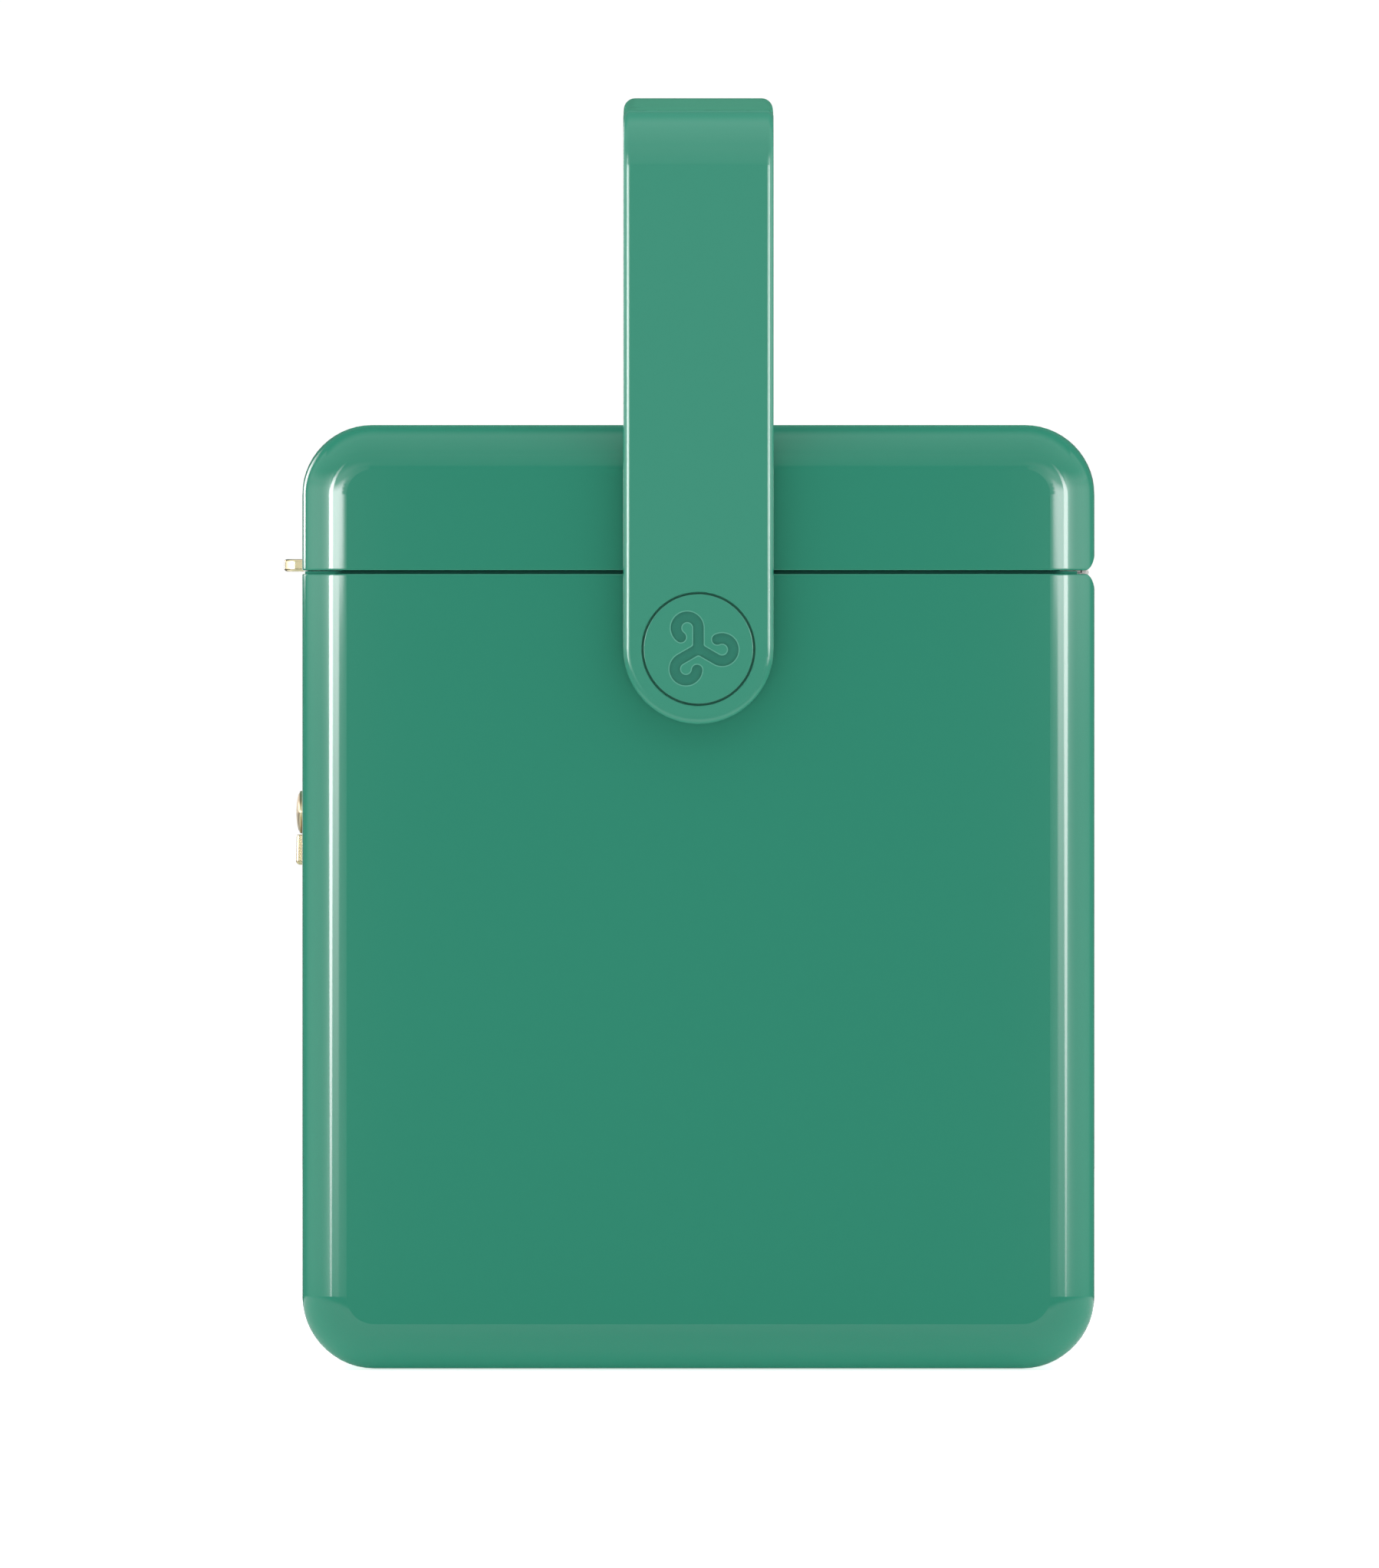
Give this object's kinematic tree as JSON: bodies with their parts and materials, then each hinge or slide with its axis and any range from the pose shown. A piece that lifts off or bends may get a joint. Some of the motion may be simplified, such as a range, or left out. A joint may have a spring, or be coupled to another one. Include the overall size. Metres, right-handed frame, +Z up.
{
  "type": "insulated drinks chest",
  "caption": "Hinged-lid insulated chest in glossy moulded plastic with a wide fold-over bail handle, a front lift tab and a badge, for carrying cold drinks.",
  "frame": {"origin": "centre of the base on the plane it rests on", "axes": "+Z up, front with the lift tab towards -Y, lid hinge towards +Y, handle pivot axis along X"},
  "size_m": [0.316, 0.2547, 0.3994],
  "materials": {
    "green_plastic": "gloss",
    "handle_plastic": "gloss",
    "white_plastic": "satin",
    "insulation_foam": "matte",
    "seal_rubber": "matte",
    "gold_metal": "polished",
    "hinge_steel": "satin",
    "screw_steel": "satin",
    "nylon": "matte"
  },
  "bodies": {
    "chest": {"body_shell": "green_plastic", "body_liner": "white_plastic", "body_foam": "insulation_foam", "badge_oval": "gold_metal", "badge_bar": "gold_metal", "badge_push_nuts": "screw_steel", "hinge_leaf_lower": "hinge_steel", "hinge_pin": "hinge_steel", "hinge_screws_lower": "screw_steel", "pivot_bolt_right": "screw_steel", "pivot_nut_right": "screw_steel", "backing_plate_right": "hinge_steel", "friction_washer_right": "nylon", "spring_washer_right": "screw_steel", "pivot_bolt_left": "screw_steel", "pivot_nut_left": "screw_steel", "backing_plate_left": "hinge_steel", "friction_washer_left": "nylon", "spring_washer_left": "screw_steel"},
    "lid": {"lid_shell": "green_plastic", "lid_liner": "white_plastic", "lid_foam": "insulation_foam", "lid_seal": "seal_rubber", "lid_tab": "gold_metal", "lid_liner_screws": "screw_steel", "hinge_leaf_upper": "hinge_steel", "hinge_screws_upper": "screw_steel"},
    "handle": {"handle_outer": "handle_plastic", "handle_cover": "handle_plastic", "handle_screws": "screw_steel", "pivot_cap_right": "handle_plastic", "pivot_cap_left": "handle_plastic", "pivot_bush_right": "nylon", "pivot_bush_left": "nylon"}
  },
  "joints": [
    {"name": "lid_hinge", "type": "hinge", "parent": "chest", "child": "lid", "pos_m": [0, 0.1213, 0.24915], "axis": [-1, 0, 0], "range_deg": [0, 28]},
    {"name": "handle_swing", "type": "hinge", "parent": "chest", "child": "handle", "pos_m": [0, 0, 0.2251], "axis": [1, 0, 0], "range_deg": [-118, 118]}
  ]
}
